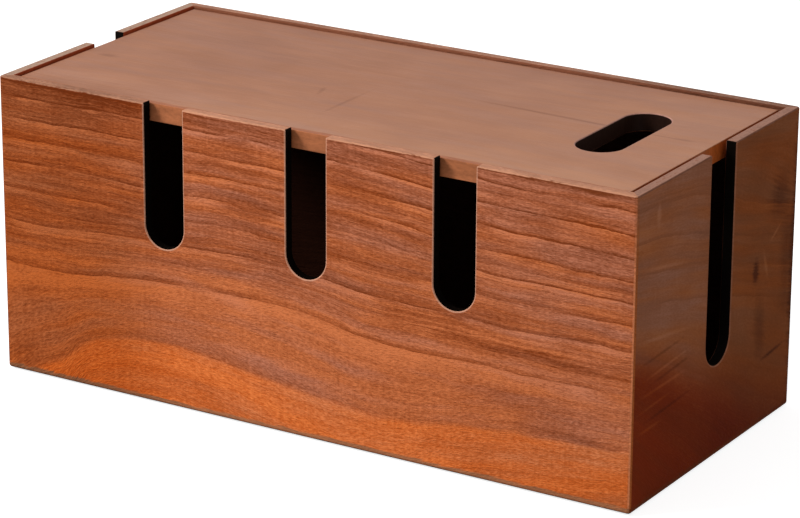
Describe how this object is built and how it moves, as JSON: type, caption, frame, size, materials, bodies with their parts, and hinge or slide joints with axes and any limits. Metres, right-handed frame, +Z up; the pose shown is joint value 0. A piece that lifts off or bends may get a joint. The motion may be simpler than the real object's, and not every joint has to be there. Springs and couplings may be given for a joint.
{
  "type": "cable management box",
  "caption": "Wooden cable management box with round-bottomed cable slots in the front and ends, and a loose drop-in lid with a finger hole.",
  "frame": {"origin": "under the middle of the box, on the surface that its feet stand on", "axes": "+X to the right along the slotted front, +Y from front to back, +Z up"},
  "size_m": [0.372, 0.173, 0.161],
  "materials": {
    "stained_wall": "reddish brown walnut stain, satin",
    "stained_lid": "smooth pale brown stain, satin",
    "base_board": "dark stain, matt",
    "post_wood": "dark stain, matt",
    "foot_rubber": "matt black",
    "screw_steel": "zinc plated"
  },
  "bodies": {
    "case": {"front_panel": "stained_wall", "back_panel": "stained_wall", "left_end_panel": "stained_wall", "right_end_panel": "stained_wall", "base_panel": "base_board", "corner_post_front_left": "post_wood", "corner_post_front_right": "post_wood", "corner_post_back_left": "post_wood", "corner_post_back_right": "post_wood", "foot_front_left": "foot_rubber", "foot_front_right": "foot_rubber", "foot_back_left": "foot_rubber", "foot_back_right": "foot_rubber", "base_screws": "screw_steel"},
    "lid": {"lid": "stained_lid"}
  },
  "joints": [
    {"name": "lid_lift", "type": "slide", "parent": "case", "child": "lid", "axis": [0, 0, 1], "range_m": [0, 0.2]}
  ]
}
